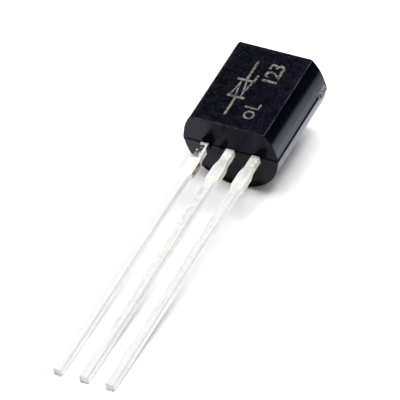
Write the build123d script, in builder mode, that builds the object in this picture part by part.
from build123d import *
import os
from math import asin, atan2, cos, hypot, radians, sin, tan

# A small triac in a D-shaped moulded package with three leads, lying with its flat side up.
# Millimetres. +X runs across the leads, +Y from the leads to the body, +Z up from the surface it lies on.
# Sketches on the lead plane have x across the leads and y along them, 0 at the body's lead end,
# with heights counted from the mould's parting plane, where the top faces of the leads lie.

# Moulded body
body_radius = 2.35  # round back and sides, centred on the parting plane
flat_height = 1.48  # from the parting plane up to the flat side
body_length = 5.2  # from the lead end to the far end, on the parting plane
end_draft = 1.0  # degrees, each way from the parting plane
side_draft = 11.0  # degrees, each way, where the round sides run out to the parting plane
seam_depth = 0.035  # of the V groove left where the two mould halves met
body_edge_radius = 0.06

# Broken-off stub of the moulding gate, on the right side near the far end
gate_length = 0.6
gate_height = 0.4
gate_reach = 0.07  # proud of the side
gate_root = 0.1  # sunk into the side
gate_slope = 0.08  # each sloping side of the torn stub, seen along the body
gate_inset = 0.15  # from the far end

# Leads, stamped from one strip
lead_pitch = 1.27
lead_width = 0.42
lead_thickness = 0.38
lead_length = 14.5  # outside the body
lead_edge_radius = 0.04  # edges rolled over by the stamping

# Stubs on both sides of each lead, where the tie bar between the leads was cut away
stub_reach = 0.09  # proud of the lead's side
stub_distance = 1.15  # from the body
stub_length = 0.75
stub_run_in = 0.4  # slope on the body's side
stub_run_out = 0.3  # slope on the tip's side
stub_corner_radius = 0.1

# Inner ends of the leads
post_distance = 0.75  # from the lead end of the body to the bonding posts
post_length = 0.95
post_gap = 0.4  # between neighbouring posts
paddle_gap = 0.3  # between the posts and the die paddle
paddle_width = 2.4
paddle_overhang = 0.2  # past the outer side of its own lead
paddle_wall = 1.2  # from the paddle to the far end of the body

# Die in the middle of its paddle
die_side = 1.3
die_thickness = 0.22
solder_thickness = 0.05
solder_margin = 0.06  # solder that shows round the die

# Bond wires
gate_wire_diameter = 0.12
main_wire_diameter = 0.2
bond_foot_ratio = 1.9  # width of a flattened bond foot over its wire's diameter
bond_foot_height = 0.06
gate_pad_inset = 0.3  # from the die's edges to the middle of the gate pad
main_pad_shift = 0.2  # from the die's middle towards the far end
loop_height = 0.5  # from the top of the die to the crown of each wire
loop_radius = 0.25

os.makedirs("parts", exist_ok=True)

# At rest the part lies on the rounded lower edge of its lead end and on the three lead tips.
heel_centre = body_radius * tan(radians(end_draft)) + body_edge_radius
heel_run = lead_length + heel_centre
heel_drop = body_radius - body_edge_radius - lead_thickness
rest_tilt = atan2(heel_drop, heel_run) + asin(body_edge_radius / hypot(heel_run, heel_drop))
plane_height = lead_length * sin(rest_tilt) + lead_thickness * cos(rest_tilt)

# The origin is on that surface, under the middle of the whole length.
tip_reach = lead_length * cos(rest_tilt)
crown_length = body_length - body_radius * tan(radians(end_draft))
crown_reach = crown_length * cos(rest_tilt) + body_radius * sin(rest_tilt)
far_reach = max(body_length * cos(rest_tilt), crown_reach)

lead_plane = Plane(
    origin=(0, (tip_reach - far_reach) / 2, plane_height),
    x_dir=(1, 0, 0),
    z_dir=(0, -sin(rest_tilt), cos(rest_tilt)),
)
underside_plane = Plane(lead_plane.origin, x_dir=lead_plane.x_dir, z_dir=-lead_plane.z_dir)
section_plane = Plane(lead_plane.origin, x_dir=lead_plane.x_dir, z_dir=-lead_plane.y_dir)
along = Axis(lead_plane.origin, lead_plane.y_dir)

# Places that several pieces share
post_width = lead_pitch - post_gap
post_end = post_distance + post_length
bond_y = (post_distance + post_end) / 2
paddle_start = post_end + paddle_gap
paddle_length = body_length - paddle_wall - paddle_start
paddle_x = lead_pitch + lead_width / 2 + paddle_overhang - paddle_width / 2
paddle_y = paddle_start + paddle_length / 2
die_top = solder_thickness + die_thickness
gate_pad = (
    paddle_x + die_side / 2 - gate_pad_inset,
    paddle_y - die_side / 2 + gate_pad_inset,
)
main_pad = (paddle_x, paddle_y + main_pad_shift)


def lead_outline(inner_length):
    """A lead from its tip to inner_length inside the body, with the stubs of the tie bar."""
    half_lead = lead_width / 2
    half_stub = half_lead + stub_reach
    stub_end = stub_distance + stub_length
    right_side = [
        (half_lead, inner_length),
        (half_lead, stub_run_in - stub_distance),
        (half_stub, -stub_distance),
        (half_stub, -stub_end),
        (half_lead, -stub_end - stub_run_out),
        (half_lead, -lead_length),
    ]
    left_side = [(-x, y) for x, y in reversed(right_side)]
    Polygon(*right_side, *left_side)


def round_stubs(outline):
    """Rounds the corners of the tie bar's stubs, but not those of the cut tip."""
    outer_corners = outline.vertices().filter_by_position(Axis.Y, -lead_length, 0)
    fillet(outer_corners.sort_by(Axis.Y)[2:], radius=stub_corner_radius)


def roll_edges(blank):
    """Rounds the edges of a stamping's two broad faces, except where its tip was cut off."""
    broad_faces = blank.faces().sort_by(SortBy.AREA)[-2:]
    tip = blank.faces().sort_by(along)[0]
    fillet(broad_faces.edges() - tip.edges(), radius=lead_edge_radius)


# The two leads that end in a bonding post
post_leads = []
for label, lead_x in (("main_terminal_1_lead", -lead_pitch), ("gate_lead", 0)):
    with BuildPart() as post_lead:
        with BuildSketch(lead_plane) as outline:
            with Locations((lead_x, 0)):
                lead_outline(post_end)
            with Locations((lead_x, post_distance)):
                Rectangle(post_width, post_length, align=(Align.CENTER, Align.MIN))
            round_stubs(outline)
        extrude(amount=-lead_thickness)
        roll_edges(post_lead)
    post_lead.part.label = label
    export_step(post_lead.part, f"parts/{label}.step")
    post_leads.append(post_lead.part)

# The lead that ends in the die paddle
with BuildPart() as main_terminal_2_lead:
    with BuildSketch(lead_plane) as outline:
        with Locations((lead_pitch, 0)):
            lead_outline(paddle_start)
        with Locations((paddle_x, paddle_start)):
            Rectangle(paddle_width, paddle_length, align=(Align.CENTER, Align.MIN))
        round_stubs(outline)
    extrude(amount=-lead_thickness)
    roll_edges(main_terminal_2_lead)
main_terminal_2_lead.part.label = "main_terminal_2_lead"
export_step(main_terminal_2_lead.part, "parts/main_terminal_2_lead.step")

# Solder layer between the paddle and the die
with BuildPart() as die_solder:
    with BuildSketch(lead_plane):
        with Locations((paddle_x, paddle_y)):
            solder_side = die_side + 2 * solder_margin
            RectangleRounded(solder_side, solder_side, solder_margin)
    extrude(amount=solder_thickness)
die_solder.part.label = "die_solder"
export_step(die_solder.part, "parts/die_solder.step")

# Silicon die
with BuildPart() as triac_die:
    with BuildSketch(lead_plane.offset(solder_thickness)):
        with Locations((paddle_x, paddle_y)):
            Rectangle(die_side, die_side)
    extrude(amount=die_thickness)
triac_die.part.label = "triac_die"
export_step(triac_die.part, "parts/triac_die.step")

# Bond wires, each up from its post, across, and down to its pad on the die
bond_wires = []
for label, post_x, pad, diameter in (
    ("main_terminal_1_bond_wire", -lead_pitch, main_pad, main_wire_diameter),
    ("gate_bond_wire", 0, gate_pad, gate_wire_diameter),
):
    start = lead_plane.from_local_coords(Vector(post_x, bond_y))
    run = lead_plane.from_local_coords(Vector(*pad)) - start
    crown = die_top + loop_height
    route = ((0, 0), (0, crown), (run.length, crown), (run.length, die_top))
    with BuildPart() as bond_wire:
        with BuildLine(Plane(start, x_dir=run, z_dir=run.cross(lead_plane.z_dir))):
            FilletPolyline(*route, radius=loop_radius)
        with BuildSketch(Plane(start, x_dir=run, z_dir=lead_plane.z_dir)):
            Circle(diameter / 2)
        sweep()
        for foot_place, foot_level in (((post_x, bond_y), 0), (pad, die_top)):
            with BuildSketch(lead_plane.offset(foot_level)):
                with Locations(foot_place):
                    Circle(diameter * bond_foot_ratio / 2)
            extrude(amount=bond_foot_height)
    bond_wire.part.label = label
    export_step(bond_wire.part, f"parts/{label}.step")
    bond_wires.append(bond_wire.part)

# The body's two halves, each as it was drawn out of its half of the mould
seam_x = body_radius / cos(radians(side_draft))
side_x = body_radius * cos(radians(side_draft))
side_y = body_radius * sin(radians(side_draft))
body_halves = []
for pull_plane, side_height, side in (
    (lead_plane, flat_height, Align.MIN),
    (underside_plane, body_radius, Align.MAX),
):
    pull = Axis(pull_plane.origin, pull_plane.z_dir)
    with BuildPart() as body_half:
        with BuildSketch(section_plane):
            Circle(body_radius)
            right_side = [(side_x, -side_y), (seam_x, 0), (side_x, side_y)]
            left_side = [(-x, y) for x, y in reversed(right_side)]
            Polygon(*right_side, *left_side)
            side_band = (Align.CENTER, side)
            Rectangle(2 * seam_x, side_height, align=side_band, mode=Mode.INTERSECT)
        extrude(amount=-body_length)
        lead_end, *_, far_end = body_half.faces().sort_by(along)
        draft([lead_end, far_end], pull_plane, end_draft)
        lead_end, *_, far_end = body_half.faces().sort_by(along)
        level_faces = body_half.faces().filter_by(pull_plane)
        parting_face = level_faces.sort_by(pull)[0]
        sharp_faces = ShapeList([lead_end, far_end, *level_faces])
        fillet(sharp_faces.edges() - parting_face.edges(), radius=body_edge_radius)
        parting_face = body_half.faces().sort_by(pull)[0]
        chamfer(parting_face.edges(), length=seam_depth)
    body_halves.append(body_half.part)

# Moulded body, cast round everything inside it
with BuildPart() as moulded_body:
    add(body_halves)
    with BuildSketch(section_plane.offset(gate_inset - body_length)):
        with Locations((seam_x, 0)):
            gate_base = gate_height / 2
            gate_crest = gate_base - gate_slope
            Polygon(
                (-gate_root, -gate_base),
                (gate_reach, -gate_crest),
                (gate_reach, gate_crest),
                (-gate_root, gate_base),
            )
    extrude(amount=gate_length)
    inner_pieces = [*post_leads, *bond_wires, die_solder.part, triac_die.part]
    add([*inner_pieces, main_terminal_2_lead.part], mode=Mode.SUBTRACT)
moulded_body.part.label = "moulded_body"
export_step(moulded_body.part, "parts/moulded_body.step")
